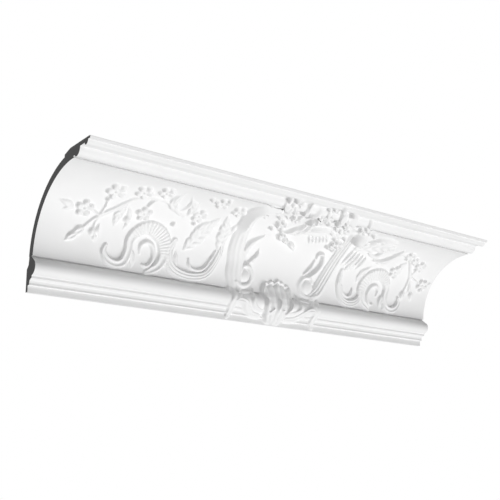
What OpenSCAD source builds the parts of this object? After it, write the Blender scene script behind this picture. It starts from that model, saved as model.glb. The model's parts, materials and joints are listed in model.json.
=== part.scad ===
/* [Moulding] */
// Height of the moulding on the wall
height = 160; // [120:5:240]
// Projection of the moulding along the ceiling
projection = 163; // [140:1:180]
// Length of the section, cut square at both ends
length = 740; // [700:10:900]
// Height of the flat face glued to the wall
wall_face_h = 30; // [26:1:34]
// Width of the flat face glued to the ceiling
ceiling_face_w = 52; // [44:1:56]

/* [Cove] */
// Radius of the cove's front
cove_radius = 104.5; // [100:0.5:108]
// Thickness of the shell behind the cove
shell = 11; // [9:0.5:13]

/* [Ornament] */
// Distance of the pattern's middle line from the middle of the length
pattern_shift = 17; // [0:1:30]
// Relief of the side scrolls
scroll_relief = 5; // [3:0.5:7]
// Relief of the stems
stem_relief = 2.6; // [1.5:0.1:4]
// Relief of the flowers and leaves
flower_relief = 4; // [2:0.5:6]
// Relief of the middle cartouche
cartouche_relief = 15; // [10:1:18]
// Petals on each flower
petals = 5; // [4:1:6]

/* [Hidden] */
$fn = 96;
// The ornament is drawn on a grid of hundredths of a 160 mm height
u = height / 100;
// Middle of the cove's curve, as depth from the wall and height
cove_mid = [75.2 * u, 24.8 * u];
back_radius = cove_radius + shell;
// The cove runs between these angles, up from the horizontal
cove_from = 2.8;
cove_to = 92.4;
cove_run = (cove_to - cove_from) * PI / 180 * cove_radius / u;
// Height of the origin above the bottom edge
origin_h = wall_face_h / 2;
// How far a relief reaches into the shell, and at most into the solid part below the cove
sink = 2.5;
foot_sink = 12;

// Section through the moulding, with depth from the wall as x

module bottom_mouldings() {
    polygon([[0, 0], [3.5, 0], [3.5, 5.2], [6.2, 5.5], [6.2, 8], [8.5, 10],
             [10, 10.4], [10, 12.2], [14, 12.6], [14.5, 21.8], [7.6, 28.6], [7.6, 30],
             [4, 30], [3, 22], [0, wall_face_h / u]] * u);
    intersection() {
        translate([9.6, 19] * u) circle(6.5 * u);
        translate([0, 12.4] * u) square([20, 11.6] * u);
    }
}

module top_mouldings() {
    difference() {
        polygon([[projection / u - ceiling_face_w / u, 100], [60, 97.5], [60, 90],
                 [78.5, 89.3], [81, 89.3], [83.5, 90.2], [84.8, 91.5], [86, 96.4],
                 [91.5, 96.4], [92.5, 96.8], [98.2, 97.5], [98.5, 98], [projection / u, 98],
                 [projection / u, 100]] * u);
        translate([88.8, 93.4] * u) circle(3.3 * u);
    }
    difference() {
        translate([95.4, 97.2] * u) circle(2.8 * u);
        translate([92, 97.5] * u) square([10, 3] * u);
    }
}

module cove_shell() {
    intersection() {
        translate(cove_mid) difference() {
            circle(back_radius);
            circle(cove_radius);
        }
        translate([0, 28.8] * u) square([78.5, 100 - 28.8] * u);
    }
}

module moulding_section() {
    bottom_mouldings();
    top_mouldings();
    cove_shell();
}

// A place [x, v, h] on the cove: x along the pattern, v up the curve from its foot, both on
// the drawing grid, and h out from the surface in mm. Below the foot and past the top of the
// curve the surface runs on straight.
function on_cove(p) =
    let (v = min(max(p[1], 0), cove_run),
         a = cove_from + v * u / cove_radius * 180 / PI,
         r = cove_radius - p[2],
         past = p[1] - v,
         depth = cove_mid[0] - r * cos(a) + max(past, 0) * u,
         z = cove_mid[1] + r * sin(a) + min(past, 0) * u)
    [p[0] * u, -depth, z - origin_h];

// Points along a smooth curve through the given ones
function curve_at(p, i, t) =
    let (n = len(p) - 1, a = p[max(i - 1, 0)], b = p[i], c = p[min(i + 1, n)], d = p[min(i + 2, n)])
    0.5 * (2 * b + (c - a) * t + (2 * a - 5 * b + 4 * c - d) * t * t
        + (3 * b - a - 3 * c + d) * t * t * t);
function smooth(p, n) =
    [for (i = [0 : len(p) - 2]) for (k = [0 : n - 1]) curve_at(p, i, k / n), p[len(p) - 1]];
function unit(a) = a / max(norm(a), 0.001);

// Closed skin over a list of rings of places on the cove
module loft(rings) {
    n = len(rings[0]);
    last = len(rings) - 1;
    polyhedron(
        [for (ring = rings) for (p = ring) on_cove(p)],
        concat(
            [[for (j = [0 : n - 1]) j]],
            [for (i = [0 : last - 1]) for (j = [0 : n - 1])
                let (a = i * n + j, b = i * n + (j + 1) % n)
                each [[b, a, a + n], [b, a + n, b + n]]],
            [[for (j = [n - 1 : -1 : 0]) last * n + j]]));
}

// Cross-sections as [across, up], where up below 0 lies inside the shell
scroll_section = [[-0.5, -1], [-0.38, 1], [0, 0.55], [0.38, 1], [0.5, -1]];
ridge_section = [[-0.5, -1], [0, 1], [0.5, -1]];

// A band that follows points given as [x, v, width, height factor]
module band(points, relief, section = scroll_section, n = 2) {
    path = smooth(points, n);
    last = len(path) - 1;
    loft([for (i = [0 : last])
        let (p = path[i],
             q = path[min(i + 1, last)] - path[max(i - 1, 0)],
             t = unit([q[0], q[1]]))
        [for (s = section)
            [p[0] + t[1] * s[0] * p[2], p[1] - t[0] * s[0] * p[2],
             s[1] > 0 ? s[1] * relief * p[3] : -min(foot_sink, sink + max(-p[1], 0) * 0.6)]]]);
}

// A leaf from its stalk to its tip, bent sideways by bow
module leaf(from, to, width, relief, bow = 0, section = ridge_section) {
    run = to - from;
    side = [-run[1], run[0]] * bow;
    a = from + run * 0.3 + side;
    b = from + run * 0.65 + side;
    band([[from[0], from[1], width * 0.25, 0.5], [a[0], a[1], width, 1],
          [b[0], b[1], width * 0.8, 0.9], [to[0], to[1], width * 0.06, 0.35]],
         relief, section, 1);
}

// A flower with rounded petals about a raised middle
module flower(at, radius, relief, turn = 0) {
    sides = petals * 2;
    loft([for (ring = [[1, -1], [0.85, 0.8], [0.25, 1]])
        [for (j = [0 : sides - 1])
            let (a = turn + j * 360 / sides, r = radius * ring[0] * (j % 2 == 0 ? 1 : 0.68))
            [at[0] + r * cos(a), at[1] + r * sin(a), ring[1] < 0 ? -sink : ring[1] * relief]]]);
}

// A round berry or bud
module berry(at, radius, relief) {
    loft([for (ring = [[1, -1], [0.9, 0.6], [0.4, 1]])
        [for (j = [0 : 5])
            [at[0] + radius * ring[0] * cos(j * 60), at[1] + radius * ring[0] * sin(j * 60),
             ring[1] < 0 ? -sink : ring[1] * relief]]]);
}

// Flowering spray, right of the pattern's middle line
module spray() {
    band([[187, 43, 2.2, 1], [177, 51, 2.4, 1], [169, 61, 2.6, 1], [159, 68, 2.8, 1],
          [145, 71, 3, 1], [130, 67, 3, 1], [119, 60, 3, 1], [110, 58, 2, 0.6]],
         stem_relief, ridge_section, 1);
    for (end = [[200, 26.5], [186.7, 29], [201, 49], [185, 65]])
        band([[187, 43, 2.4, 1], [end[0], end[1], 2, 0.8]], stem_relief, ridge_section, 1);
    leaf([197, 31], [211, 17], 7, flower_relief);
    leaf([188, 34], [186, 19], 7, flower_relief);
    leaf([214, 46], [226, 49], 6, flower_relief);
    leaf([167, 56], [170, 34], 9, flower_relief, 0.1);
    leaf([148, 68], [152, 57], 6, flower_relief, -0.2);
    leaf([114, 60], [126, 85], 8, flower_relief, -0.25);
    leaf([110, 61], [114, 81], 7, flower_relief, 0.2);
    for (f = [[203, 47, 8], [183, 70, 9], [161, 76, 8], [148, 52, 7.5], [143, 82, 8],
              [98, 63, 8], [87, 82, 8]])
        flower([f[0], f[1]], f[2], flower_relief, f[0] * 7);
    berry([162, 45], 3, flower_relief);
    berry([100, 88], 3, flower_relief);
}

// Comb-crested scroll with its inner curl
module comb_scroll() {
    band([[174, 19, 4, 0.7], [173, 8, 6.5, 1], [164, 5, 7, 1], [156, 10, 7, 1],
          [154, 25, 8, 1], [149, 36, 10, 1], [138, 40, 14, 1], [124, 33, 13, 1],
          [119, 19, 10, 1], [124, 7, 8, 1], [135, 1, 3, 0.6]], scroll_relief);
    band([[143, 18, 2.5, 0.7], [143, 24, 4, 1], [138, 27, 4, 1], [133, 24, 4, 1], [131, 17, 4, 1],
          [133, 10, 4, 1], [139, 7, 2.5, 0.7]], scroll_relief * 0.8, ridge_section, 1);
    leaf([152, 20], [147, 3], 7, scroll_relief);
    // Teeth of the comb, square across the crest
    for (i = [0 : 4]) {
        a = 145 - i * 28;
        band([[131 - 8 * cos(a), 24 + 9 * sin(a), 1.6, 0.8],
              [131 - 18.5 * cos(a), 24 + 19.5 * sin(a), 2.6, 1.15],
              [131 - 22.5 * cos(a), 24 + 23.5 * sin(a), 2, 0.6]], scroll_relief, ridge_section, 1);
    }
}

// Open scroll that carries the two acanthus leaves
module leaf_scroll() {
    band([[109, 33, 5, 0.7], [112, 24, 8, 1], [110.5, 14, 8.5, 1], [103.5, 7.5, 8.5, 1],
          [92, 5, 8, 1], [80, 5.5, 7.5, 1], [71, 10, 7, 1], [65, 18, 6.5, 1], [62, 28, 6, 1],
          [61, 38, 5, 0.8]], scroll_relief);
    band([[91, 20, 2.5, 0.7], [90, 15, 3.5, 1], [86, 11, 3.5, 1], [79, 11, 3.5, 1],
          [73, 16, 3.5, 1], [68, 25, 3, 0.8]], scroll_relief * 0.8, ridge_section, 1);
    leaf([105, 23], [102, 10], 5, scroll_relief);
    leaf([101, 27], [81, 66], 16, scroll_relief, 0.05, scroll_section);
    leaf([62, 33], [72, 70], 14, scroll_relief, -0.05, scroll_section);
    leaf([92, 44], [78, 50], 7, scroll_relief);
    leaf([66, 48], [77, 58], 6, scroll_relief);
}

// Volute at the foot of a cartouche scroll
module volute() {
    band([[46, 9, 8, 0.8], [38, 3.5, 8, 0.9], [29.5, 7, 8, 0.95], [28, 16, 8, 1],
          [34, 22.5, 7, 1], [40.5, 20, 5, 0.95], [41.5, 14, 4, 0.8]],
         cartouche_relief * 0.75, n = 1);
    berry([36, 13.5], 6, cartouche_relief * 0.6);
}

// Great C-scroll on one side of the cartouche, with its volute and inner leaf
module great_scroll() {
    band([[46, 5, 13, 0.75], [54, 13, 14, 0.85], [60, 28, 15, 0.95], [62, 45, 15.5, 1],
          [60, 62, 16, 1], [54, 77, 16, 0.9], [44, 89, 14, 0.7], [31, 97, 10, 0.5],
          [20, 99, 5, 0.35]], cartouche_relief);
    volute();
    leaf([45, 24], [26, 50], 9, cartouche_relief * 0.5, -0.15);
}

// Straighter fluted scroll on the other side, with a side curl and a ball at its top
module fluted_scroll() {
    band([[47, 5, 12, 0.75], [57, 12, 13, 0.9], [64, 26, 13, 0.95], [68, 42, 12, 1],
          [69, 58, 11, 1], [68, 72, 10, 0.9], [66, 84, 8, 0.6]], cartouche_relief,
         [[-0.5, -1], [-0.42, 0.8], [-0.2, 0.6], [0, 1], [0.2, 0.6], [0.42, 0.8], [0.5, -1]]);
    translate([8 * u, 0, 0]) volute();
    band([[50, 24, 4, 0.5], [55, 33, 5, 0.6], [55, 43, 5, 0.6], [49, 51, 4, 0.5],
          [45, 47, 3, 0.4]], cartouche_relief, ridge_section);
    berry([73, 84], 10, cartouche_relief * 0.75);
    leaf([88, 66], [128, 86], 15, scroll_relief, -0.1, scroll_section);
}

// Collar bar across the foot of the cove, and the arched foot below it over the bead
module collar_and_foot() {
    band([[58, 2, 5, 1], [44, 1, 5, 1], [30, 1.5, 5, 1], [22, 3, 3, 0.8]],
         cartouche_relief * 0.85, n = 1);
    band([[51, 1, 9, 1], [51, -9, 8, 1], [52, -17, 6, 0.85], [54, -24, 4, 0.6]],
         cartouche_relief * 0.95, n = 1);
    band([[49, -11, 4, 0.9], [42, -6, 6, 1], [34, -8, 6, 1], [29, -13, 6, 0.95],
          [22, -18, 5, 0.7], [13, -20, 4, 0.55]], cartouche_relief * 0.95, n = 1);
}

// Fluted palmette that hangs over the bead on the middle line
module palmette() {
    band([[0, 13, 10, 0.4], [0, 8, 32, 0.65], [0, -2, 31, 0.95], [0, -11, 26, 1.05],
          [0, -20, 16, 0.9], [0, -26, 5, 0.4]], cartouche_relief,
         [[-0.5, -1], [-0.48, 0.55], [0, 0.8], [0.48, 0.55], [0.5, -1]], 1);
    for (i = [-2 : 2])
        band([[i * 2, -22, 2, 0.75], [i * 4.6, -11, 4.4, 1.22], [i * 6.2, -1, 5, 1.12],
              [i * 6.6, 10 - abs(i), 4, 0.7]], cartouche_relief, ridge_section, 1);
}

// Flowers, shell edge and leaves along the top of the cartouche
module crown() {
    for (f = [[-38, 112, 9], [-16, 106, 9], [8, 106, 9], [35, 105, 11], [49, 88, 8],
              [54, 71, 8]])
        flower([f[0], f[1]], f[2], cartouche_relief * 0.45, f[0] * 5);
    flower([-22, 77], 7, cartouche_relief * 0.45);
    for (b = [[-10, 62], [-14, 69], [66, 104], [76, 100]])
        berry(b, 3.5, cartouche_relief * 0.35);
    leaf([-4, 60], [10, 50], 5, cartouche_relief * 0.3);
    leaf([-10, 69], [8, 98], 9, cartouche_relief * 0.45, 0.1);
    leaf([8, 73], [38, 82], 9, cartouche_relief * 0.45, -0.1);
    for (i = [0 : 3])
        leaf([15 + i * 7, 74 + i], [14 + i * 8, 61 + i], 6, cartouche_relief * 0.35);
}

// The ornament on either side of the pattern's middle line is alike but not the same
module relief() {
    mirror([1, 0, 0]) {
        translate([4 * u, 0, 0]) spray();
        translate([5 * u, 0, 0]) comb_scroll();
        translate([5 * u, 0, 0]) leaf_scroll();
        great_scroll();
        collar_and_foot();
    }
    translate([-8 * u, 0, 0]) spray();
    translate([-2 * u, 0, 0]) comb_scroll();
    // A narrower open scroll
    translate([46 * u, 0, 0]) scale([0.63, 1, 1]) leaf_scroll();
    fluted_scroll();
    collar_and_foot();
    palmette();
    crown();
}

module cornice_moulding() {
    color("white") {
        translate([0, 0, -origin_h]) rotate([90, 0, 90])
            linear_extrude(length, center = true) mirror([1, 0]) moulding_section();
        // One skin over the whole relief, before it joins the shell
        resize([0, 0, 0]) translate([pattern_shift, 0, 0]) relief();
    }
}

cornice_moulding();
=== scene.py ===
import json
import math
import bpy
import numpy as np
from mathutils import Matrix, Vector

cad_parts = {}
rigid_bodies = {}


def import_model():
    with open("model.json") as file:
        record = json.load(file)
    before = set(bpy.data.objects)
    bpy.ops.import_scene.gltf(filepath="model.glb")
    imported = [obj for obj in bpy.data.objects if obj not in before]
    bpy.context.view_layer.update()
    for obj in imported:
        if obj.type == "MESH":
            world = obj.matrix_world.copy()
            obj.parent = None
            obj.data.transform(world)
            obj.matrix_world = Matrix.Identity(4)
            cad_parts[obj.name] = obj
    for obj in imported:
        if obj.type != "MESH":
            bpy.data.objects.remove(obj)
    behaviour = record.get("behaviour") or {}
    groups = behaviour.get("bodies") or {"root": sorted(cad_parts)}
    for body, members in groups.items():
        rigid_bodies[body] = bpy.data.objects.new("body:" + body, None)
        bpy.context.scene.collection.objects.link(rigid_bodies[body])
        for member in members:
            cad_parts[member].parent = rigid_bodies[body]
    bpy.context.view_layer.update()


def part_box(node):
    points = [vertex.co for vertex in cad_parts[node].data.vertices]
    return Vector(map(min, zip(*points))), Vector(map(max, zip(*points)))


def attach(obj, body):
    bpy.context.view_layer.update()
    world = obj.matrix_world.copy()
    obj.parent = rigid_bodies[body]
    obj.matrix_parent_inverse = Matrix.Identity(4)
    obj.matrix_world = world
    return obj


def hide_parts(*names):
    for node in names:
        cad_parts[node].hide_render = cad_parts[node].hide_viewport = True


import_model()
low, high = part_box("cornice_moulding")

# The whole moulding is drawn on a grid of hundredths of its height: x along the length from the
# middle of the pattern, v up the cove from its foot, and h out from the cove's surface
grid = (high.z - low.z) / 100
patternShift = 0.017    # middle of the pattern, right of the middle of the length
xStart = (low.x - patternShift) / grid
xEnd = (high.x - patternShift) / grid


# ---- camera, light and floor

view = {"lens": 61.58, "sensor": 36, "shiftUp": 0.08,
        "place": (-4.973, -6.324, -1.458),    # in heights, from the middle of the bottom edge at the wall
        "turn": 37.86, "rise": 12.55, "roll": -0.17}


def placeCamera():
    height = high.z - low.z
    foot = Vector(((low.x + high.x) / 2, high.y, low.z))
    turn, rise, roll = (math.radians(view[k]) for k in ("turn", "rise", "roll"))
    ahead = Vector((math.sin(turn) * math.cos(rise), math.cos(turn) * math.cos(rise), math.sin(rise)))
    level = Vector((math.cos(turn), -math.sin(turn), 0))
    up = level.cross(ahead)
    right = level * math.cos(roll) + up * math.sin(roll)
    top = up * math.cos(roll) - level * math.sin(roll)
    camera = bpy.data.cameras.new("camera")
    camera.lens = view["lens"]
    camera.sensor_width = view["sensor"]
    camera.shift_y = view["shiftUp"]
    camera.clip_start = 0.01
    holder = bpy.data.objects.new("camera", camera)
    holder.matrix_world = Matrix.Translation(foot + Vector(view["place"]) * height) @ Matrix(
        (right, top, -ahead)).transposed().to_4x4()
    bpy.context.collection.objects.link(holder)
    bpy.context.scene.camera = holder


studio = {"ambient": 0.16, "floorDepth": 1.3, "floorSize": 12.0, "floorColour": 0.9,
          "floorRoughness": 0.9,
          "keyFrom": (0.2, -0.58, -0.79), "keySpread": 54.0, "keyStrength": 2.7,
          "backFrom": (-0.3, 0.62, 0.72), "backSpread": 60.0, "backStrength": 2.2}


def lightStudio():
    middle = (low + high) / 2
    world = bpy.data.worlds.new("whiteRoom")
    bpy.context.scene.world = world
    world.use_nodes = True
    nodes, links = world.node_tree.nodes, world.node_tree.links
    paths = nodes.new("ShaderNodeLightPath")
    seen = nodes.new("ShaderNodeMath")
    seen.operation = "MAXIMUM"
    links.new(paths.outputs["Is Camera Ray"], seen.inputs[0])
    links.new(paths.outputs["Is Glossy Ray"], seen.inputs[1])
    strength = nodes.new("ShaderNodeMapRange")
    strength.inputs["To Min"].default_value = studio["ambient"]
    strength.inputs["To Max"].default_value = 1.0
    links.new(seen.outputs[0], strength.inputs["Value"])
    background = nodes["Background"]
    background.inputs["Color"].default_value = (1, 1, 1, 1)
    links.new(strength.outputs["Result"], background.inputs["Strength"])

    # a broad soft lamp from below and in front, past the floor, and one over the back
    for name in ("key", "back"):
        lamp = bpy.data.lights.new(name, "SUN")
        lamp.energy = studio[name + "Strength"]
        lamp.angle = math.radians(studio[name + "Spread"])
        holder = bpy.data.objects.new(name, lamp)
        holder.location = middle + Vector(studio[name + "From"])
        holder.rotation_euler = Vector(studio[name + "From"]).to_track_quat("Z", "Y").to_euler()
        bpy.context.collection.objects.link(holder)

    half = studio["floorSize"] / 2
    floorMesh = bpy.data.meshes.new("floor")
    floorMesh.from_pydata([(-half, -half, 0), (half, -half, 0), (half, half, 0), (-half, half, 0)],
                          [], [(0, 1, 2, 3)])
    floor = bpy.data.objects.new("floor", floorMesh)
    floor.location = (middle.x, middle.y, low.z - studio["floorDepth"])
    floor.visible_shadow = False    # the key lamp stands below it
    floor.visible_diffuse = False    # its bounce would flatten the relief
    bpy.context.collection.objects.link(floor)
    floorPaint = bpy.data.materials.new("floorPaint")
    floorPaint.use_nodes = True
    shader = floorPaint.node_tree.nodes["Principled BSDF"]
    shader.inputs["Base Color"].default_value = (*[studio["floorColour"]] * 3, 1)
    shader.inputs["Roughness"].default_value = studio["floorRoughness"]
    floorMesh.materials.append(floorPaint)
    bpy.context.scene.view_settings.view_transform = "Standard"


placeCamera()
lightStudio()
print("camera, light and floor ready")


# ---- the plain section, as depth from the wall and height, both on the grid

section = {"coveMiddle": (75.2, 24.8), "coveRadius": 65.3, "coveFrom": 2.8, "coveTo": 92.4,
           "beadMiddle": (9.6, 19), "beadRadius": 6.5,
           "topBeadMiddle": (95.4, 97.2), "topBeadRadius": 2.8,
           "backRadius": 72.2, "rowStep": 0.67, "columnStep": 0.67,
           "block": 4,    # plain areas take one face for this many rows and columns
           "groundBlend": 2.2}
coveFrom = math.radians(section["coveFrom"])
coveTo = math.radians(section["coveTo"])
coveRadius = section["coveRadius"]
coveRun = (coveTo - coveFrom) * coveRadius
outerDepth = (high.y - low.y) / grid


def arc(middle, radius, start, end, count):
    angles = np.radians(np.linspace(start, end, count))
    return [(middle[0] + radius * math.cos(a), middle[1] + radius * math.sin(a)) for a in angles]


def flatten(place):    # depth and height to v and h, the reverse of wrapping onto the cove
    across = section["coveMiddle"][0] - place[0]
    up = place[1] - section["coveMiddle"][1]
    angle = math.atan2(up, across)
    if angle < coveFrom:
        h = coveRadius - across / math.cos(coveFrom)
        return up - (coveRadius - h) * math.sin(coveFrom), h
    if angle > coveTo:
        h = coveRadius - up / math.sin(coveTo)
        return coveRun - across + (coveRadius - h) * math.cos(coveTo), h
    return (angle - coveFrom) * coveRadius, coveRadius - math.hypot(across, up)


def frontProfile():
    lower = [(3.5, 0), (3.5, 5.2), (6.2, 5.5), (6.0, 7), (6.6, 8.8), (8.5, 10), (10, 10.4), (10, 12.2)]
    lower += arc(section["beadMiddle"], section["beadRadius"], -75, 40, 17)
    lower += [(7.6, 28.6), (10, 28.8)]
    # a quirk that folds back over the cove, a rounded fascia, a ledge and a bead
    upper = [(76.2, 90.08), (74.9, 91.6), (77.4, 91.7), (77.8, 90.7), (79.6, 90), (81.6, 89.9),
             (83.4, 90.8), (84.7, 92.2), (85.5, 94), (85.9, 96.4), (91.5, 96.4), (92.5, 96.8)]
    upper += arc(section["topBeadMiddle"], section["topBeadRadius"], 190, 345, 12)
    upper += [(98.7, 97.9), (101.2, 97.8), (outerDepth, 99.3)]
    return [flatten(p) for p in lower], [flatten(p) for p in upper]


def backProfile():    # from the ceiling side down to the wall side
    points = [(outerDepth - 1, 100), (69.4, 100), (60, 97.5)]
    middle, radius = section["coveMiddle"], section["backRadius"]
    points += [(middle[0] - x + middle[0], y) for x, y in arc(middle, radius, 77.85, 3.18, 30)]
    points += [(3.85, 28.8), (3, 22), (0, 18.75), (0, 0)]
    return [flatten(p) for p in points]


def fillRows(points, step):    # points along a line, with in-between ones no further apart than step
    rows = []
    for (v0, h0), (v1, h1) in zip(points, points[1:]):
        count = max(1, math.ceil((v1 - v0) / step))
        rows += [(v0 + (v1 - v0) * i / count, h0 + (h1 - h0) * i / count) for i in range(count)]
    return rows + [points[-1]]


lowerLine, upperLine = frontProfile()
lowerRows = fillRows(lowerLine, section["rowStep"])
upperRows = fillRows(upperLine, section["rowStep"])
coveBlocks = round((upperLine[0][0] - lowerLine[-1][0]) / section["rowStep"] / section["block"])
coveRows = [(v, 0.0) for v in np.linspace(lowerLine[-1][0], upperLine[0][0],
                                          coveBlocks * section["block"] + 1)[1:-1]]
rows = lowerRows + coveRows + upperRows
rowV = np.array([r[0] for r in rows])
rowH = np.array([r[1] for r in rows])
columnBlocks = round((xEnd - xStart) / section["columnStep"] / section["block"])
columnX = np.linspace(xStart, xEnd, columnBlocks * section["block"] + 1)
spread = np.exp(-((rowV[:, None] - rowV) / section["groundBlend"]) ** 2) * np.gradient(rowV)
rowGround = (spread * rowH).sum(1) / spread.sum(1)    # the plain surface without its small steps
# height of the ornament over each grid point, far down where there is none
carving = np.full((len(rowV), len(columnX)), -99.0)


# ---- carving tools

def followPath(points, step=0.5):    # smooth line through rows of x, v, width and height
    p = np.array(points, float)
    p = np.vstack([p[:1], p, p[-1:]])
    pieces = []
    for a, b, c, d in zip(p, p[1:], p[2:], p[3:]):
        count = max(2, math.ceil(np.hypot(*(c - b)[:2]) / step))
        t = np.arange(count)[:, None] / count
        pieces.append(0.5 * (2 * b + (c - a) * t + (2 * a - 5 * b + 4 * c - d) * t ** 2
                             + (3 * b - a - 3 * c + d) * t ** 3))
    return np.vstack(pieces + [p[-1:]])


def window(xLow, xHigh, vLow, vHigh):
    x0, x1 = np.searchsorted(columnX, (xLow, xHigh))
    v0, v1 = np.searchsorted(rowV, (vLow, vHigh))
    return slice(v0, v1), slice(x0, x1)


def ease(t):
    t = np.clip(t, 0, 1)
    return t * t * (3 - 2 * t)


def bump(t, middle, width):
    return np.exp(-((t - middle) / width) ** 2)


# Cross-sections take the place across (-1 to 1, + on the left of the way) and the run along
def roundTop(t, run, total):
    return np.sqrt(np.clip(1 - 0.8 * t * t, 0, 1))


def channelled(t, run, total):    # two raised rims with a hollow between
    return 0.55 + 0.45 * bump(np.abs(t), 0.66, 0.26)


def lined(t, run, total):    # three fine ridges
    return 0.62 + 0.38 * (0.5 + 0.5 * np.cos(3 * np.pi * t)) * (1 - 0.25 * t * t)


def doubled(t, run, total):    # two strands side by side
    return 0.6 + 0.4 * bump(np.abs(t), 0.5, 0.32)


def strand(points, relief, cut=roundTop, side=1, wall=0.8, lobes=None, skirt=5):
    # wall is how wide its edges take to rise, skirt how steeply it falls away under the surface
    path = followPath(points)
    path[:, 0] *= side
    x, v, half = path[:, 0], path[:, 1], path[:, 2] / 2
    step = np.gradient(path[:, :2], axis=0)
    step /= np.maximum(np.hypot(step[:, 0], step[:, 1]), 1e-6)[:, None]
    run = np.concatenate([[0], np.cumsum(np.hypot(np.diff(x), np.diff(v)))])
    if lobes:    # wavy margins: how many, and how deep
        wave = np.abs(np.sin(run / run[-1] * np.pi * lobes[0]))
        half = half * (1 - lobes[1] + lobes[1] * wave ** 0.7)
    reach = half.max() + 2
    area = window(x.min() - reach, x.max() + reach, v.min() - reach, v.max() + reach)
    gridX, gridV = np.meshgrid(columnX[area[1]], rowV[area[0]])
    away = (gridX[..., None] - x) ** 2 + (gridV[..., None] - v) ** 2
    near = away.argmin(-1)
    gap = np.sqrt(np.take_along_axis(away, near[..., None], -1)[..., 0])
    turn = step[near, 0] * (gridV - v[near]) - step[near, 1] * (gridX - x[near])
    t = np.where(turn * side < 0, -1, 1) * np.minimum(gap / half[near], 1.0)
    rise = ease((half[near] - gap) / np.minimum(wall, half[near]))
    top = relief * path[near, 3] * cut(t, run[near], run[-1]) * rise
    height = np.where(gap < half[near], top, (half[near] - gap) * skirt)
    carving[area] = np.maximum(carving[area], height + rowGround[area[0]][:, None])


def leafCut(veins, slant=0.5, rib=0.18):    # a domed leaf with a midrib and slanting veins
    def cut(t, run, total):
        s = run / max(total, 1e-6)
        ribs = 0.5 + 0.5 * np.cos(2 * np.pi * (s * veins - np.abs(t) * slant * 2))
        return (1 - 0.35 * t * t) * (0.72 + 0.28 * ribs) - 0.3 * bump(t, 0, rib) * (1 - s)
    return cut


def leaf(start, end, width, relief, bow=0.0, side=1, veins=0, lobes=None):
    start, end = np.array(start, float), np.array(end, float)
    way = end - start
    out = np.array([-way[1], way[0]]) * bow
    a, b = start + way * 0.3 + out, start + way * 0.65 + out
    strand([(*start, width * 0.3, 0.6), (*a, width, 1), (*b, width * 0.8, 0.95),
            (*end, width * 0.1, 0.45)], relief, leafCut(veins), side, lobes=lobes)


# ---- side ornament: flowering sprays and open scrolls

sprayRelief = {"stem": 2.0, "leaf": 2.9, "flower": 3.6, "bud": 3.0}
scrollRelief = {"scroll": 3.4, "curl": 2.8, "acanthus": 3.2}
flower, rosette, berry, ball = range(4)
blossoms = []    # x, v, radius, height, turn, kind


def blossom(x, v, radius, height, turn=0.0, kind=flower):
    blossoms.append((x, v, radius, height, turn, kind))


def leftSpray():
    stem, leafRise, bloom, bud = (sprayRelief[k] for k in ("stem", "leaf", "flower", "bud"))
    side = -1
    strand([(193, 43, 4.6, 1.1), (183, 51, 4.2, 1.1), (175, 60, 3.6, 1.1), (169, 66, 3, 1),
            (159, 70, 2.6, 1), (149, 71, 2.6, 1), (141, 70, 2.6, 1), (133, 66, 2.6, 1.1),
            (125, 61, 2.6, 1.1), (117, 59, 2.4, 0.8)], stem, doubled, side)
    strand([(193, 43, 3, 1), (198, 38, 2.6, 1), (205, 28, 2.6, 1)], stem, roundTop, side)
    strand([(193, 43, 3, 1), (194.5, 37, 2.4, 1), (194.5, 31, 2.4, 1)], stem, roundTop, side)
    strand([(193, 43, 2.6, 1), (191, 52, 2.4, 1), (192, 61, 2.4, 1)], stem, roundTop, side)
    strand([(193, 43, 2.6, 1), (199, 46, 2.2, 1), (203, 47, 2, 1)], stem, roundTop, side)
    for start, end, width in (((203, 31), (212, 22), 8), ((207, 26), (217, 17), 7),
                              ((195, 32), (193.5, 23), 8), ((193, 27), (190.5, 20), 5)):
        leaf(start, end, width, bud, 0.0, side, veins=1)
    leaf((190, 36), (187.5, 24), 3.4, leafRise, 0.12, side)
    leaf((217, 45), (231, 50), 6, leafRise * 0.7, 0.05, side, veins=2)
    leaf((217, 46), (226, 42), 4, leafRise * 0.6, 0.0, side)
    leaf((173, 57), (177, 36), 9, leafRise, 0.08, side, veins=4, lobes=(3, 0.2))
    leaf((171, 56), (168, 34), 5, leafRise * 0.8, -0.12, side, veins=3)
    strand([(150, 70, 3, 0.8), (153, 68, 3.4, 1), (155, 62, 3, 1)], leafRise, roundTop, side)
    leaf((127, 62), (131, 86), 9, leafRise, -0.22, side, veins=2)
    leaf((124, 63), (124, 84), 4, leafRise * 0.8, 0.2, side)
    leaf((115, 61), (121, 80), 8, leafRise, 0.16, side, veins=2)
    leaf((112, 63), (111, 79), 4, leafRise * 0.7, -0.1, side)
    for x, v, radius, turn in ((208, 47, 8.5, 20), (189, 70, 9.5, 50), (166, 76, 8.5, 0), (155, 53, 8, 30),
                               (148, 82, 8, 60), (104, 63, 8, 10), (93, 85, 8, 40), (71, 79, 7.5, 70)):
        blossom(-x, v, radius, bloom, turn)
    for x, v, radius in ((168, 45, 3.4), (105, 87, 2.6), (90, 92, 2.6), (105, 54, 2.4), (124, 49, 2.6),
                         (192, 60, 2.4)):
        blossom(-x, v, radius, bloom, 0, berry)


comb = {"toothPitch": 2.9, "from": 0.38, "to": 0.86}    # teeth on the crest, as shares of its run


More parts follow.
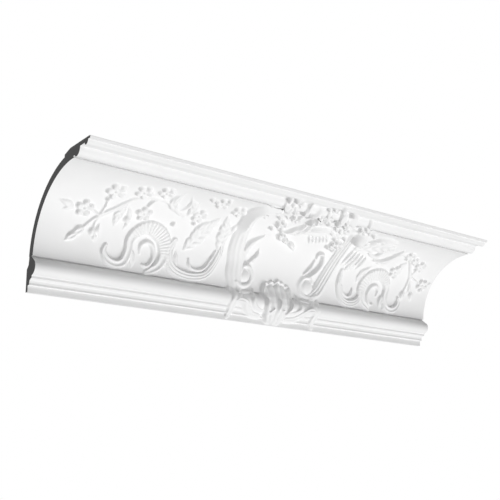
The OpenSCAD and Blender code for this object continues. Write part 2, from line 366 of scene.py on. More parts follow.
def combScroll(side, shift):
    def ribs(t, run, total):    # fine ridges square across the crest
        crest = ease((run - comb["from"] * total) / (0.08 * total)) \
            * ease((comb["to"] * total - run) / (0.1 * total))
        teeth = 0.5 + 0.5 * np.cos(2 * np.pi * run / comb["toothPitch"])
        plain = 0.6 + 0.4 * bump(np.abs(t), 0.62, 0.28)
        return plain * (1 - crest) + crest * (0.62 + 0.38 * teeth) * (1 - 0.15 * t * t)
    path = [(180, 19, 4, 0.7), (181, 13, 6, 0.9), (177, 7, 7, 1), (169, 4.5, 7.5, 1), (162, 8, 8, 1),
            (159, 18, 8, 1), (159, 28, 9, 1), (154, 36, 11, 1), (146, 41, 13.5, 1), (136, 39.5, 14.5, 1),
            (127, 32, 14, 1), (123.5, 20, 11, 1), (127.5, 9.5, 8.5, 1), (134.5, 4, 7, 0.9),
            (139, 1.5, 4, 0.6)]
    strand([(x + shift, *rest) for x, *rest in path], scrollRelief["scroll"], ribs, side)
    curl = [(147, 17, 2.4, 0.6), (147.5, 24, 4, 1), (143, 28, 4.4, 1), (137, 26, 4.4, 1),
            (133.5, 18, 4.4, 1), (135, 11, 4, 1), (139, 7, 3.6, 0.9), (143, 8, 2.4, 0.7)]
    strand([(x + shift, *rest) for x, *rest in curl], scrollRelief["curl"], roundTop, side)
    leaf((157 + shift, 20), (154 + shift, 3), 7, scrollRelief["curl"], -0.08, side, veins=1)
    leaf((160 + shift, 14), (158 + shift, 3), 4, scrollRelief["curl"], 0.1, side)


def leftLeafScroll():
    side = -1
    rise, curl, acanthus = (scrollRelief[k] for k in ("scroll", "curl", "acanthus"))
    strand([(116, 34, 6, 0.7), (119, 24, 8.5, 1), (117, 14, 9, 1), (110, 7.5, 9, 1), (98, 4.5, 8.5, 1),
            (85, 5.5, 8, 1), (76, 10, 7.5, 1), (70, 19, 7, 1), (67, 29, 6.5, 1), (66, 39, 5, 0.8)],
           rise, lined, side)
    strand([(97, 20, 2.4, 0.7), (96, 15, 3.5, 1), (92, 11.5, 3.8, 1), (85, 11.5, 3.8, 1), (79, 15, 3.5, 1),
            (74, 24, 3.2, 1), (71, 32, 2.4, 0.8)], curl, roundTop, side)
    leaf((112, 24), (108, 9), 5, curl, 0.0, side)
    leaf((104, 28), (82, 66), 16, acanthus, 0.02, side, veins=6, lobes=(4, 0.28))
    leaf((98, 40), (88, 60), 7, acanthus, -0.15, side, veins=3)
    leaf((69, 33), (77, 70), 13, acanthus, 0.05, side, veins=6, lobes=(4, 0.3))
    leaf((70, 48), (62, 63), 7, acanthus, 0.1, side, veins=2)


def rightSpray():
    stem, leafRise, bloom, bud = (sprayRelief[k] for k in ("stem", "leaf", "flower", "bud"))
    strand([(181, 46, 4.4, 1.1), (174, 56, 3.6, 1.1), (166, 64, 3, 1.1), (157, 70, 2.6, 1),
            (149, 71, 2.6, 1), (143, 66, 2.8, 1.1), (138, 58, 3, 1.2), (130, 53, 3, 1.2),
            (121, 56, 2.4, 0.9)], stem, doubled)
    strand([(181, 46, 3, 1), (182, 35, 2.4, 1), (180, 26, 2.4, 1)], stem)
    strand([(181, 46, 3, 1), (187, 36, 2.4, 1), (193, 27, 2.4, 1)], stem)
    strand([(181, 46, 2.6, 1), (192, 42, 2.4, 1), (199, 39, 2, 1)], stem)
    strand([(181, 46, 2.6, 1), (184, 52, 2.4, 1), (186, 57, 2, 1)], stem)
    for start, end, width in (((180.5, 28), (180, 17), 8), ((192, 29), (196, 18), 7)):
        leaf(start, end, width, bud, 0.0, veins=1)
    leaf((184, 38), (188, 25), 3.4, leafRise, 0.12)
    leaf((164, 62), (160, 40), 8, leafRise, -0.1, veins=4, lobes=(3, 0.2))
    leaf((211, 38), (218, 43), 5, leafRise * 0.7)
    for x, v, radius, turn in ((156, 47, 8.5, 10), (160, 71, 7, 40), (172, 66, 5.5, 0), (186, 60, 8.5, 25),
                               (205, 38, 8.5, 55)):
        blossom(x, v, radius, bloom, turn)


def rightLeafScroll():
    rise, curl, acanthus = (scrollRelief[k] for k in ("scroll", "curl", "acanthus"))
    path = [(116, 34, 4, 0.7), (119, 24, 6.5, 1), (117, 14, 7, 1), (110, 7.5, 7.5, 1), (98, 4.5, 8, 1),
            (85, 5.5, 8, 1), (76, 10, 7.5, 1), (70, 19, 7, 1), (67, 29, 6, 1), (67, 38, 4, 0.7)]
    strand([(84 + (x - 66) * 0.66, *rest) for x, *rest in path], rise, lined)
    strand([(106, 20, 2.4, 0.7), (105, 14, 3.6, 1), (100, 11, 3.6, 1), (94, 14, 3.4, 1),
            (90, 22, 2.6, 0.8)], curl)
    leaf((109, 28), (122, 48), 8, acanthus * 0.8, 0.1, veins=3, lobes=(3, 0.25))
    leaf((88, 38), (95, 55), 8, acanthus * 0.8, -0.1, veins=3, lobes=(3, 0.25))


leftSpray()
combScroll(-1, 0)
leftLeafScroll()
rightSpray()
combScroll(1, -5)
rightLeafScroll()
print("side ornament carved")


# ---- the cartouche between them

cartoucheRelief = {"scroll": 8.0, "volute": 6.2, "leaf": 4.6, "collar": 3.0, "foot": 2.8, "shell": 2.6,
                   "crown": 6.2, "ball": 10.5}


def turningCut(outer, run, total):    # ridged band that turns its outer flank out towards its head
    body = np.interp(outer, (-1, -0.8, -0.55, -0.3, 0, 0.25, 0.5, 0.75, 1),
                     (0.5, 0.7, 0.64, 0.7, 0.56, 0.55, 0.4, 0.3, 0.1))
    head = np.interp(outer, (-1, -0.6, -0.3, -0.05, 1), (0.5, 0.72, 0.6, 1, 0.14))
    share = ease((run / total - 0.46) / 0.16)
    return body * (1 - share) + head * share


def leftCScroll():
    side = -1
    strand([(44, 2, 14, 0.9), (47, 14, 16.5, 1), (48, 26, 16.5, 1), (51, 38, 16, 1), (53, 50, 15, 1),
            (55.5, 68, 15, 1), (57, 82, 15.5, 0.95), (53, 91.5, 14, 0.85), (46, 96.5, 9, 0.7),
            (38, 98.5, 4, 0.5)],
           cartoucheRelief["scroll"], lambda t, r, n: turningCut(-t, r, n), side)
    strand([(44, 7, 7, 0.9), (37, 3.5, 8, 0.95), (29.5, 7, 8, 0.95), (27.5, 15.5, 8, 1), (32, 23, 7.6, 1),
            (38.5, 23.5, 6.6, 1), (40, 18, 5, 1)],
           cartoucheRelief["volute"], roundTop, side, wall=2.4)
    blossom(-35.5, 13.5, 9, cartoucheRelief["volute"], 0, berry)
    strand([(40, 22, 5, 0.9), (41, 34, 7.5, 1), (37, 47, 7, 0.9), (27, 57, 3, 0.5)],
           cartoucheRelief["leaf"], roundTop, side, wall=1.6)
    leaf((34, 26), (25, 44), 4.6, cartoucheRelief["leaf"] * 0.9, 0.16, side, veins=2)
    for i in range(4):    # small beads along the scroll's head
        blossom(-44 + i * 3.2, 93.6 + i * 2, 2.1, cartoucheRelief["leaf"] * 0.8, 0, berry)


sweptLeaf = {"rise": 4.0, "ribs": 5}


def rightCScroll():
    strand([(50, 4, 12, 0.85), (58, 12, 12.5, 0.95), (64, 26, 12.5, 1), (68, 42, 12, 0.95),
            (69.5, 58, 11, 0.85), (69, 72, 9.5, 0.7), (67, 82, 7, 0.5)], cartoucheRelief["scroll"] * 0.66,
           lambda t, r, n: 0.58 - 0.3 * t + 0.26 * (0.5 + 0.5 * np.cos(4 * np.pi * t)), 1)
    strand([(56, 6, 7, 0.8), (48, 3, 8, 0.6), (39, 6, 8, 0.4), (35.5, 14, 8, 0.35), (39, 22, 7, 0.45),
            (46, 23, 6, 0.75), (50, 18, 5, 0.75)],
           cartoucheRelief["volute"], roundTop, 1, wall=3)
    blossom(44, 13, 9, cartoucheRelief["volute"] * 0.7, 0, berry)
    strand([(44, 24, 4, 0.9), (51, 31, 4.6, 1), (54.5, 41, 4.6, 1), (51, 50, 4, 0.9), (45.5, 50, 3.6, 0.8),
            (45.5, 45, 3, 0.6)], cartoucheRelief["leaf"])
    strand([(38, 26, 3, 0.5), (43, 34, 3.4, 0.7), (45, 42, 2.6, 0.5)], cartoucheRelief["leaf"], roundTop)
    # ball at the head of the scroll, and the long leaf that sweeps away from it
    blossom(75, 81, 9.5, cartoucheRelief["ball"], 0, ball)
    sweep = sweptLeaf["rise"]
    strand([(86, 66, 8, 0.7), (97, 71, 15, 1), (110, 76, 19, 1), (122, 78, 15, 1), (131, 75, 5, 0.6)],
           sweep, leafCut(5), 1, lobes=(4, 0.22))
    strand([(93, 79, 3, 0.6), (101, 87.5, 5, 1.1), (112, 90, 5, 1.1), (124, 88, 2.4, 0.7)], sweep, roundTop)
    strand([(106, 63, 3, 0.7), (114, 61, 5, 1), (120, 66, 4.4, 1), (126, 70, 2.6, 0.6)], sweep, channelled)
    strand([(118, 56, 3, 0.7), (128, 57, 4.6, 1), (138, 65, 4.6, 1), (145, 77, 2.4, 0.6)], sweep, roundTop)
    for i in range(sweptLeaf["ribs"]):    # ribs running down beside the fluted scroll
        at = i / (sweptLeaf["ribs"] - 1)
        leaf((84 + 22 * at, 64 - 6 * at), (79 + 22 * at, 42 - 2 * at), 4.4, sweep * 0.8, 0.06, veins=1)


def collarAndFoot(side, shift=0.0):    # shift moves it away from the middle
    collar, foot = cartoucheRelief["collar"], cartoucheRelief["foot"]

    def bar(points, relief, cut=doubled, wall=2.6):
        strand([(x + shift, *rest) for x, *rest in points], relief, cut, side, wall, skirt=6)
    bar([(49, -0.2, 5, 0.9), (44, -0.8, 7, 1.1), (36, -1.2, 7, 1.1), (26, -0.8, 5, 1)], collar, roundTop)
    blossom(side * (49.5 + shift), -0.2, 3.2, collar * 1.1, 0, berry)
    bar([(43, -3, 14, 0.9), (44.5, -9, 11, 0.8), (46.5, -14, 9, 0.8), (45.5, -20, 7.5, 0.8),
         (47.5, -25.4, 5, 0.7)], foot, wall=1.4)
    bar([(45.5, -15, 5, 0.9), (44, -12.5, 6, 1), (40, -10.4, 7, 1.1), (34, -11.6, 7.4, 1.1),
         (28.5, -16, 7.4, 1), (21, -20.4, 7, 1), (12, -21.6, 6, 0.9)], foot)
    bar([(22, 2.2, 3, 1.4), (23.5, -4, 6, 1.3), (24.5, -10.5, 7, 1.1), (19.5, -15, 6, 1),
         (10, -17, 4, 0.8)], foot, roundTop)


# heights of the shell stand out from the cove's own surface, so that it leans out over the bead
shell = {"middle": 6.2, "halfWidths": ((-29, 4), (-26, 10), (-21, 13.5), (-14, 15.5), (-8, 16.5), (-1, 18),
                                      (6, 18.5), (12, 17)),
         "heights": ((-29, -4), (-24, 0.5), (-19, 4), (-14, 7), (-9, 7.9), (-3, 7.6), (3, 5.2), (9, 3.4),
                     (16, 2.4)),
         "flutes": 5, "lipTop": 13, "scallop": 2.6, "edge": 2.4, "bottom": -28}


def palmette():    # fluted shell with a scalloped, rolled lip, hanging over the bead
    depth = cartoucheRelief["shell"]
    area = window(shell["middle"] - 24, shell["middle"] + 24, -31, 22)
    x, v = np.meshgrid(columnX[area[1]] - shell["middle"], rowV[area[0]])
    half = np.interp(v, *zip(*shell["halfWidths"]))
    t = np.clip(x / half, -1.2, 1.2)
    wave = np.abs(np.cos(np.pi * t * shell["flutes"] / 2))
    top = shell["lipTop"] - 4.5 * t * t + shell["scallop"] * wave + 2.5 * bump(t, 0.15, 0.12)
    inside = np.minimum(np.minimum(half - np.abs(x), top - v), v - shell["bottom"])
    roll = 0.5 * bump(top - v, 1.4, 1.3) - 0.7 * bump(top - v, 4.2, 1.5)
    outer = np.interp(v, *zip(*shell["heights"])) - depth * (0.5 - 0.5 * wave ** 0.8 - roll + 0.9 * t * t)
    bed = np.minimum(rowGround[area[0]], np.interp(rowV[area[0]], *zip(*shell["heights"])))[:, None]
    height = np.where(inside > 0, bed + (outer - bed) * ease(inside / shell["edge"]), bed + inside * 9)
    carving[area] = np.maximum(carving[area], height)
    spine, curl = depth * 1.5, depth * 1.2
    mid = shell["middle"]
    strand([(mid, 9, 3, 1.3), (mid, -3, 3.8, 1.3), (mid, -10, 4, 1.6), (mid, -20, 3, 1.7)], spine, roundTop)
    for side in (-1, 1):    # rolled edges, curling in at the waist
        strand([(side * out + mid, *rest) for out, *rest in (
            (15, 9, 3, 1.4), (17, 2, 4, 1.7), (15.5, -6, 4, 1.6), (14.5, -13, 4, 1.9), (10, -19, 4, 2),
            (6, -15, 3, 2))], curl, roundTop)
    blossom(mid, -24, 5, curl * 1.5, 0, berry)


crownSize = {"fringeRibs": 6}


def crown():
    rise = cartoucheRelief["crown"]
    for x, v, radius, turn, kind, size in (
            (-34, 111, 10, 0, rosette, 1), (35, 107, 12.5, 15, flower, 1), (57, 64, 8, 0, rosette, 1),
            (-21, 76, 6, 20, flower, 1), (-10, 61, 5, 40, flower, 0.9), (-2, 57, 3.4, 0, flower, 0.8),
            (12, 112, 6.5, 30, flower, 0.7), (-14, 91, 6, 10, flower, 0.9), (46, 91, 7, 40, flower, 0.9),
            (-48, 86, 6, 25, flower, 0.9), (66, 98, 6.5, 20, flower, 0.8)):
        blossom(x, v, radius, rise * size, turn, kind)
    for x, v, radius in ((18, 120, 3), (64, 109, 3), (86, 92, 3), (74, 97, 2.6), (60, 76, 2.6),
                         (-30, 86, 2.8), (-25, 91, 2.4), (50, 72, 2.4), (49, 60, 2.4), (-15, 68, 2.6),
                         (-27, 68, 2.4)):
        blossom(x, v, radius, rise * 0.8, 0, berry)
    leaf((2, 56), (15, 47), 5.4, rise * 0.8, 0.05, veins=1)
    for start, end, width, bow, size in (    # long leaves sweeping up to the right
            ((-10, 66), (6, 88), 6, -0.12, 0.9), ((-3, 66), (13, 86), 5, -0.14, 0.8),
            ((2, 86), (7, 104), 8, -0.1, 1.1), ((11, 92), (18, 104), 6, 0.1, 0.9),
            ((-8, 96), (4, 112), 5, 0.12, 0.8), ((-18, 101), (-15, 117), 5.5, -0.1, 0.9),
            ((-24, 99), (-26, 108), 4, 0, 0.7), ((-12, 88), (-11, 101), 5, 0.1, 0.8),
            ((20, 92), (31, 97), 6, 0.1, 0.8), ((34, 92), (41, 84), 5, 0.1, 0.8),
            ((42, 86), (52, 82), 5, 0.1, 0.8), ((46, 80), (56, 75), 5, -0.1, 0.7),
            ((38, 79), (49, 74), 4.4, 0.1, 0.7), ((64, 92), (60, 102), 5, 0, 0.7)):
        leaf(start, end, width, rise * size, bow, veins=2)
    strand([(9, 71, 4, 0.6), (18, 76, 10, 1), (28, 79, 11, 1), (36, 83, 5, 0.6)], rise * 0.8,
           lambda t, r, n: 0.55 + 0.45 * np.abs(t) ** 1.5)
    for i in range(crownSize["fringeRibs"]):    # fringe under the oval leaf
        leaf((20 + i * 3.6, 69 + i), (27 + i * 3.8, 58 + i * 1.2), 3.2, rise * 0.5, 0.04)
    strand([(-44, 84, 5, 0.6), (-34, 90, 6, 0.8), (-22, 97, 6, 0.9), (-8, 101, 5, 0.8), (8, 100, 4, 0.7)],
           rise * 0.45, channelled, lobes=(7, 0.35))
    strand([(20, 99, 5, 0.7), (34, 94, 6, 0.8), (50, 96, 6, 0.8), (62, 92, 5, 0.6)],
           rise * 0.45, channelled, lobes=(6, 0.35))


leftCScroll()
rightCScroll()
collarAndFoot(-1)
collarAndFoot(1, shift=10)
palmette()
crown()
print("cartouche carved")


# ---- blossoms: small flat-backed reliefs, set on the carving by the nodes below

def polarRelief(name, edge, height, rings=12, spokes=48):
    verts = [(0, 0, height(0.0, 0.0))]
    for i in range(1, rings + 1):
        rho = (i / rings) ** 0.85
        for j in range(spokes):
            angle = 2 * math.pi * j / spokes
            r = rho * edge(angle)
            verts.append((r * math.cos(angle), r * math.sin(angle), height(rho, angle)))
    faces = [(0, 1 + j, 1 + (j + 1) % spokes) for j in range(spokes)]
    for i in range(rings - 1):
        a, b = 1 + i * spokes, 1 + (i + 1) * spokes
        faces += [(a + j, b + j, b + (j + 1) % spokes, a + (j + 1) % spokes) for j in range(spokes)]
    mesh = bpy.data.meshes.new(name)
    mesh.from_pydata(verts, [], faces)
    return bpy.data.objects.new(name, mesh)


def rimFall(rho, rim):    # petals turn down outside the rim
    return 1 if rho < rim else math.cos((rho - rim) / (1 - rim) * math.pi / 2) * 1.5 - 0.5


petals = {"count": 5, "notch": 0.55, "button": 0.2, "rim": 0.82}


def petalEdge(angle):
    return 1 - petals["notch"] * (1 - abs(math.cos(petals["count"] * angle / 2)) ** 0.55)


def flowerHeight(rho, angle):
    lobe = abs(math.cos(petals["count"] * angle / 2)) ** 0.5
    if rho < petals["button"]:
        return 0.9 * math.sqrt(max(0.0, 1 - (rho / petals["button"]) ** 2 * 0.7))
    cup = 0.35 + 0.6 * math.sin(min(1.0, (rho - 0.15) / 0.6) * math.pi / 2)
    crease = 0.14 * math.exp(-((1 - lobe) / 0.05) ** 2) * (1 - rho)
    return (cup * (0.2 + 0.8 * lobe) - crease) * rimFall(rho, petals["rim"])


whorl = {"count": 7, "notch": 0.28, "swirl": 2.4, "button": 0.26, "rim": 0.85}


def rosetteEdge(angle):
    return 1 - whorl["notch"] * (1 - abs(math.cos(whorl["count"] * angle / 2)) ** 0.6)


def rosetteHeight(rho, angle):    # petals curling round a button
    button = whorl["button"]
    if rho < button:
        return 1.0 - 0.5 * (rho / button) ** 2
    petal = abs(math.cos((whorl["count"] * angle + whorl["swirl"] * 2 * (rho - 1)) / 2)) ** 0.6
    cup = 0.3 + 0.6 * math.sin((rho - button) / (1 - button) * math.pi * 0.62)
    return cup * (0.3 + 0.7 * petal) * rimFall(rho, whorl["rim"])


def berryHeight(rho, angle):
    return math.sqrt(max(0.0, 1 - rho * rho)) * 1.4 - 0.4


kinds = bpy.data.collections.new("blossomKinds")
bpy.context.scene.collection.children.link(kinds)
for maker in (("kind0Flower", petalEdge, flowerHeight), ("kind1Rosette", rosetteEdge, rosetteHeight),
              ("kind2Berry", lambda a: 1.0, berryHeight, 8, 24),
              ("kind3Ball", lambda a: 1.0, berryHeight, 16, 48)):
    kinds.objects.link(polarRelief(*maker))

seats = bpy.data.meshes.new("blossomSeats")
seats.from_pydata([(b[0], b[1], 0) for b in blossoms], [], [])
for name, column in (("radius", 2), ("rise", 3), ("turn", 4)):
    values = [math.radians(b[column]) if name == "turn" else b[column] for b in blossoms]
    seats.attributes.new(name, "FLOAT", "POINT").data.foreach_set("value", values)
seats.attributes.new("kind", "INT", "POINT").data.foreach_set("value", [b[5] for b in blossoms])
seatHolder = bpy.data.objects.new("blossomSeats", seats)
bpy.context.scene.collection.objects.link(seatHolder)


# ---- one closed block of the moulding, still flat: x, v and h on the grid

finish = {"fillet": 0.8,    # where the carving meets the plain surface
          "seatMargin": 1,    # fine faces this far round each blossom
          "rub": 0.15,    # how much one light sanding rounds the carving
          "crispAngle": 28,    # corners sharper than this stay crisp on the plain mouldings
          "squareness": 0.02}    # and edges this square to the length, such as round the cut ends


def flatBlock():
    blend = finish["fillet"]
    base = np.repeat(rowH[:, None], len(columnX), 1)
    gap = np.abs(carving - base)
    heights = np.maximum(carving, base) + np.maximum(blend - gap, 0) ** 2 / (4 * blend)
    carved = (carving > base - blend) | (heights > base + 1e-4)
    for x, v, radius, *rest in blossoms:
        reach = radius + finish["seatMargin"]
        carved[window(x - reach, x + reach, v - reach, v + reach)] = True

    size = section["block"]
    busy = carved[:-1, :-1] | carved[1:, :-1] | carved[:-1, 1:] | carved[1:, 1:]
    last = len(rowV) - 1
    coveStart = len(lowerRows) - 1
    coveEnd = coveStart + coveBlocks * size
    bands = [(i, i + 1) for i in range(coveStart)]
    bands += [(i, i + size) for i in range(coveStart, coveEnd, size)]
    bands += [(i, i + 1) for i in range(coveEnd, last)]
    fine = np.array([[busy[a:b, c:c + size].any() for c in range(0, len(columnX) - 1, size)]
                     for a, b in bands])

    index = {}
    verts, marks, ground = [], [], []

    def corner(r, c):
        key = (r, c)
        if key not in index:
            index[key] = len(verts)
            verts.append((columnX[c], rowV[r], heights[r, c]))
            marks.append(1.0 if carved[r, c] else 0.0)
            ground.append(rowGround[r])
        return index[key]

    faces = []
    columns = fine.shape[1]
    for k, (a, b) in enumerate(bands):
        for m in range(columns):
            c, d = m * size, (m + 1) * size
            if fine[k, m]:
                faces += [(corner(r, q), corner(r, q + 1), corner(r + 1, q + 1), corner(r + 1, q))
                          for r in range(a, b) for q in range(c, d)]
                continue
            south = range(c, d) if k and fine[k - 1, m] else (c,)
            east = range(a, b) if m + 1 < columns and fine[k, m + 1] else (a,)
            north = range(d, c, -1) if k + 1 < len(bands) and fine[k + 1, m] else (d,)
            west = range(b, a, -1) if m and fine[k, m - 1] else (b,)
            faces.append([corner(a, q) for q in south] + [corner(r, d) for r in east]
                         + [corner(b, q) for q in north] + [corner(r, c) for r in west])

    def used(r=None, c=None):    # grid corners already in use along one edge of the skin
        if r is not None:
            return [index[r, q] for q in range(len(columnX)) if (r, q) in index]
        return [index[q, c] for q in range(last + 1) if (q, c) in index]
    top, bottom = used(r=last), used(r=0)
    left, right = used(c=0), used(c=len(columnX) - 1)
    back = backProfile()
    backLeft = range(len(verts), len(verts) + len(back))
    verts += [(xStart, v, h) for v, h in back]
    backRight = range(len(verts), len(verts) + len(back))
    verts += [(xEnd, v, h) for v, h in back]
    marks += [0.0] * (2 * len(back))
    ground += [0.0] * (2 * len(back))
    faces.append([backLeft[0], *top, backRight[0]])
    faces += [(backRight[i], backRight[i + 1], backLeft[i + 1], backLeft[i]) for i in range(len(back) - 1)]
    faces.append([*bottom[::-1], backLeft[-1], backRight[-1]])
    ends = len(faces)
    faces.append([*left, *backLeft])
    faces.append([*right[::-1], *backRight[::-1]])
    return verts, faces, marks, ground, ends


verts, faces, marks, ground, firstEnd = flatBlock()
flat = bpy.data.meshes.new("corniceMoulding")
flat.from_pydata(verts, [], faces)
flat.attributes.new("carved", "FLOAT", "POINT").data.foreach_set("value", marks)
flat.attributes.new("ground", "FLOAT", "POINT").data.foreach_set("value", ground)
moulding = bpy.data.objects.new("corniceMoulding", flat)
bpy.context.scene.collection.objects.link(moulding)
print("flat block:", len(verts), "points,", len(faces), "faces,",
      sum(len(f) - 2 for f in faces), "triangles")


# ---- materials

paint = {"tones": ((0.3, 0.848), (0.7, 0.868)), "roughness": (0.5, 0.62), "grainScale": 900.0,
         "grainDetail": 3, "grainBump": 0.05, "grainHeight": 0.0002, "waveScale": 22.0}
foam = {"tones": (0.0323, 0.0437), "roughness": 0.85, "cellScale": 700.0}


def primedWhite():
    material = bpy.data.materials.new("primedWhite")
    material.use_nodes = True
    nodes, links = material.node_tree.nodes, material.node_tree.links
    shader = nodes["Principled BSDF"]
    place = nodes.new("ShaderNodeTexCoord")
    grain = nodes.new("ShaderNodeTexNoise")
    grain.inputs["Scale"].default_value = paint["grainScale"]
    grain.inputs["Detail"].default_value = paint["grainDetail"]
    cloud = nodes.new("ShaderNodeTexNoise")
    cloud.inputs["Scale"].default_value = paint["waveScale"]
    for noise in (grain, cloud):
        links.new(place.outputs["Object"], noise.inputs["Vector"])
    tone = nodes.new("ShaderNodeValToRGB")
    for stop, (at, value) in zip(tone.color_ramp.elements, paint["tones"]):
        stop.position = at
        stop.color = (value, value, value, 1)
    links.new(cloud.outputs["Fac"], tone.inputs["Fac"])
    links.new(tone.outputs["Color"], shader.inputs["Base Color"])
    sheen = nodes.new("ShaderNodeMapRange")
    sheen.inputs["To Min"].default_value = paint["roughness"][0]
    sheen.inputs["To Max"].default_value = paint["roughness"][1]
    links.new(grain.outputs["Fac"], sheen.inputs["Value"])
    links.new(sheen.outputs["Result"], shader.inputs["Roughness"])
    bumpNode = nodes.new("ShaderNodeBump")
    bumpNode.inputs["Strength"].default_value = paint["grainBump"]
    bumpNode.inputs["Distance"].default_value = paint["grainHeight"]
    links.new(grain.outputs["Fac"], bumpNode.inputs["Height"])
    links.new(bumpNode.outputs["Normal"], shader.inputs["Normal"])
    return material


def cutFoam():
    material = bpy.data.materials.new("cutFoam")
    material.use_nodes = True
    nodes, links = material.node_tree.nodes, material.node_tree.links
    shader = nodes["Principled BSDF"]
    shader.inputs["Roughness"].default_value = foam["roughness"]
    place = nodes.new("ShaderNodeTexCoord")
    cells = nodes.new("ShaderNodeTexNoise")
    cells.inputs["Scale"].default_value = foam["cellScale"]
    links.new(place.outputs["Object"], cells.inputs["Vector"])
    tone = nodes.new("ShaderNodeValToRGB")
    for stop, value in zip(tone.color_ramp.elements, foam["tones"]):
        stop.color = (value, value, value, 1)
    links.new(cells.outputs["Fac"], tone.inputs["Fac"])
    links.new(tone.outputs["Color"], shader.inputs["Base Color"])
    return material


whitePrimer, darkCut = primedWhite(), cutFoam()


# ---- nodes: set the blossoms on the flat block, then wrap it all onto the cove

blossomRay = {"start": 60.0, "length": 100.0}    # straight down from well over the carving


def wrapTree():
    tree = bpy.data.node_groups.new("wrapOntoCove", "GeometryNodeTree")
    face = tree.interface
    face.new_socket("Geometry", in_out="INPUT", socket_type="NodeSocketGeometry")
    sockets = {}
    for name, kind in (("Seats", "Object"), ("Kinds", "Collection"), ("Cove Radius", "Float"),
                       ("Cove From", "Float"), ("Cove Run", "Float"), ("Cove Depth", "Float"),
                       ("Cove Height", "Float"), ("Grid", "Float"), ("Shift", "Float"), ("Floor", "Float"),
                       ("Rub", "Float"), ("White", "Material"), ("Cut", "Material")):
        sockets[name] = face.new_socket(name, in_out="INPUT", socket_type="NodeSocket" + kind).identifier
    face.new_socket("Geometry", in_out="OUTPUT", socket_type="NodeSocketGeometry")
    nodes, links = tree.nodes, tree.links
    given = nodes.new("NodeGroupInput").outputs

    def plug(value, socket):
        if isinstance(value, bpy.types.NodeSocket):
            links.new(value, socket)
        else:
            socket.default_value = value

    def calc(operation, *values):
        node = nodes.new("ShaderNodeMath")
        node.operation = operation
        for value, socket in zip(values, node.inputs):
            plug(value, socket)
        return node.outputs[0]

    def named(name, kind="FLOAT"):
        node = nodes.new("GeometryNodeInputNamedAttribute")
        node.data_type = kind
        node.inputs["Name"].default_value = name
        return node.outputs["Attribute"]

    def vector(x, y, z):
        node = nodes.new("ShaderNodeCombineXYZ")
        for value, socket in zip((x, y, z), node.inputs):
            plug(value, socket)
        return node.outputs[0]

    # blossoms stand on their seats
    info = nodes.new("GeometryNodeObjectInfo")
    plug(given["Seats"], info.inputs["Object"])
    group = nodes.new("GeometryNodeCollectionInfo")
    plug(given["Kinds"], group.inputs["Collection"])
    group.inputs["Separate Children"].default_value = True
    group.inputs["Reset Children"].default_value = True
    stand = nodes.new("GeometryNodeInstanceOnPoints")
    links.new(info.outputs["Geometry"], stand.inputs["Points"])
    links.new(group.outputs["Instances"], stand.inputs["Instance"])
    stand.inputs["Pick Instance"].default_value = True
    links.new(named("kind", "INT"), stand.inputs["Instance Index"])
    links.new(vector(0.0, 0.0, named("turn")), stand.inputs["Rotation"])
    radius = named("radius")
    links.new(vector(radius, radius, named("rise")), stand.inputs["Scale"])
    blossomSkin = nodes.new("GeometryNodeRealizeInstances")
    links.new(stand.outputs["Instances"], blossomSkin.inputs["Geometry"])

    # the skin is pulled out to whatever blossom stands over it
    position = nodes.new("GeometryNodeInputPosition")
    apart = nodes.new("ShaderNodeSeparateXYZ")
    links.new(position.outputs[0], apart.inputs[0])
    x, v, h = apart.outputs
    ray = nodes.new("GeometryNodeRaycast")
    links.new(blossomSkin.outputs["Geometry"], ray.inputs["Target Geometry"])
    links.new(vector(x, v, blossomRay["start"]), ray.inputs["Source Position"])
    ray.inputs["Ray Direction"].default_value = (0, 0, -1)
    ray.inputs["Ray Length"].default_value = blossomRay["length"]
    hit = nodes.new("ShaderNodeSeparateXYZ")
    links.new(ray.outputs["Hit Position"], hit.inputs[0])
    carved = named("carved")
    over = calc("MULTIPLY", ray.outputs["Is Hit"], carved)
    lifted = calc("MAXIMUM", h, calc("ADD", hit.outputs["Z"], named("ground")))
    mix = nodes.new("ShaderNodeMix")
    links.new(over, mix.inputs["Factor"])
    links.new(h, mix.inputs["A"])
    links.new(lifted, mix.inputs["B"])
    pull = nodes.new("GeometryNodeSetPosition")
    links.new(given["Geometry"], pull.inputs["Geometry"])
    links.new(vector(x, v, mix.outputs["Result"]), pull.inputs["Position"])

    # one light rub over the carved part only
    rub = nodes.new("GeometryNodeBlurAttribute")
    rub.data_type = "FLOAT"
    again = nodes.new("GeometryNodeInputPosition")
    parts = nodes.new("ShaderNodeSeparateXYZ")
    links.new(again.outputs[0], parts.inputs[0])
    links.new(parts.outputs[2], rub.inputs["Value"])
    rub.inputs["Iterations"].default_value = 1
    links.new(calc("MULTIPLY", carved, given["Rub"]), rub.inputs["Weight"])
    x, v, h = parts.outputs[0], parts.outputs[1], rub.outputs["Value"]

    # wrap onto the cove: straight below its foot and past its top
    onCurve = calc("MINIMUM", calc("MAXIMUM", v, 0.0), given["Cove Run"])
    past = calc("SUBTRACT", v, onCurve)
    angle = calc("ADD", given["Cove From"], calc("DIVIDE", onCurve, given["Cove Radius"]))
    reach = calc("SUBTRACT", given["Cove Radius"], h)
    inward = calc("MULTIPLY", reach, calc("COSINE", angle))
    depth = calc("ADD", calc("SUBTRACT", given["Cove Depth"], inward), calc("MAXIMUM", past, 0.0))
    height = calc("ADD", calc("ADD", given["Cove Height"], calc("MULTIPLY", reach, calc("SINE", angle))),
                  calc("MINIMUM", past, 0.0))
    height = calc("MAXIMUM", height, 0.0)    # nothing hangs under the lower edge
    size = given["Grid"]
    wrapped = vector(calc("ADD", calc("MULTIPLY", x, size), given["Shift"]),
                     calc("MULTIPLY", calc("MULTIPLY", depth, size), -1.0),
                     calc("ADD", calc("MULTIPLY", height, size), given["Floor"]))
    wrap = nodes.new("GeometryNodeSetPosition")
    links.new(pull.outputs["Geometry"], wrap.inputs["Geometry"])
    links.new(wrapped, wrap.inputs["Position"])

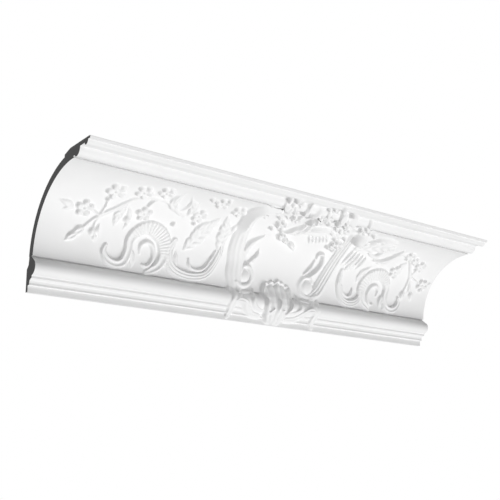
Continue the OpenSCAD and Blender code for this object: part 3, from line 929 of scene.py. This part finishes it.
    # white all over, dark on the two cut ends
    coat = nodes.new("GeometryNodeSetMaterial")
    links.new(wrap.outputs["Geometry"], coat.inputs["Geometry"])
    plug(given["White"], coat.inputs["Material"])
    endCoat = nodes.new("GeometryNodeSetMaterial")
    links.new(coat.outputs["Geometry"], endCoat.inputs["Geometry"])
    links.new(named("cutEnd", "BOOLEAN"), endCoat.inputs["Selection"])
    plug(given["Cut"], endCoat.inputs["Material"])
    links.new(endCoat.outputs["Geometry"], nodes.new("NodeGroupOutput").inputs[0])
    return tree, sockets


def wrapMoulding():
    ends = flat.attributes.new("cutEnd", "BOOLEAN", "FACE")
    ends.data.foreach_set("value", [i >= firstEnd for i in range(len(flat.polygons))])
    tree, sockets = wrapTree()
    modifier = moulding.modifiers.new("wrap", "NODES")
    modifier.node_group = tree
    for name, value in (("Seats", seatHolder), ("Kinds", kinds), ("Cove Radius", coveRadius),
                        ("Cove From", coveFrom), ("Cove Run", coveRun),
                        ("Cove Depth", section["coveMiddle"][0]), ("Cove Height", section["coveMiddle"][1]),
                        ("Grid", grid), ("Shift", patternShift), ("Floor", low.z), ("Rub", finish["rub"]),
                        ("White", whitePrimer), ("Cut", darkCut)):
        modifier[sockets[name]] = value
    graph = bpy.context.evaluated_depsgraph_get()
    wrapped = bpy.data.meshes.new_from_object(moulding.evaluated_get(graph))
    moulding.modifiers.remove(modifier)
    moulding.data = wrapped
    for o in [seatHolder, *kinds.objects]:
        bpy.data.objects.remove(o)
    bpy.data.collections.remove(kinds)
    return wrapped


shaped = wrapMoulding()
shaped.calc_loop_triangles()
volume = 0.0
for triangle in shaped.loop_triangles:
    a, b, c = (shaped.vertices[i].co for i in triangle.vertices)
    volume += a.dot(b.cross(c)) / 6
if volume < 0:
    shaped.flip_normals()
print("wrapped:", len(shaped.polygons), "faces,", len(shaped.loop_triangles), "triangles, volume",
      round(abs(volume) * 1e6, 1), "cm3")


def softenShading():    # smooth, with crisp lines along the plain mouldings and round the cut ends
    shaped.shade_smooth()
    marks = shaped.attributes["carved"].data
    normals = {}
    for polygon in shaped.polygons:
        for key in polygon.edge_keys:
            normals.setdefault(key, []).append(polygon.normal.copy())
    limit = math.cos(math.radians(finish["crispAngle"]))
    for edge in shaped.edges:
        pair = normals[tuple(sorted(edge.vertices))]
        if len(pair) == 2 and pair[0].dot(pair[1]) < limit:
            edge.use_edge_sharp = all(marks[i].value == 0 for i in edge.vertices) or \
                pair[0].cross(pair[1]).normalized().x ** 2 < finish["squareness"]
    for name in ("carved", "ground", "cutEnd"):
        shaped.attributes.remove(shaped.attributes[name])


softenShading()

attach(moulding, "root")
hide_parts("cornice_moulding")
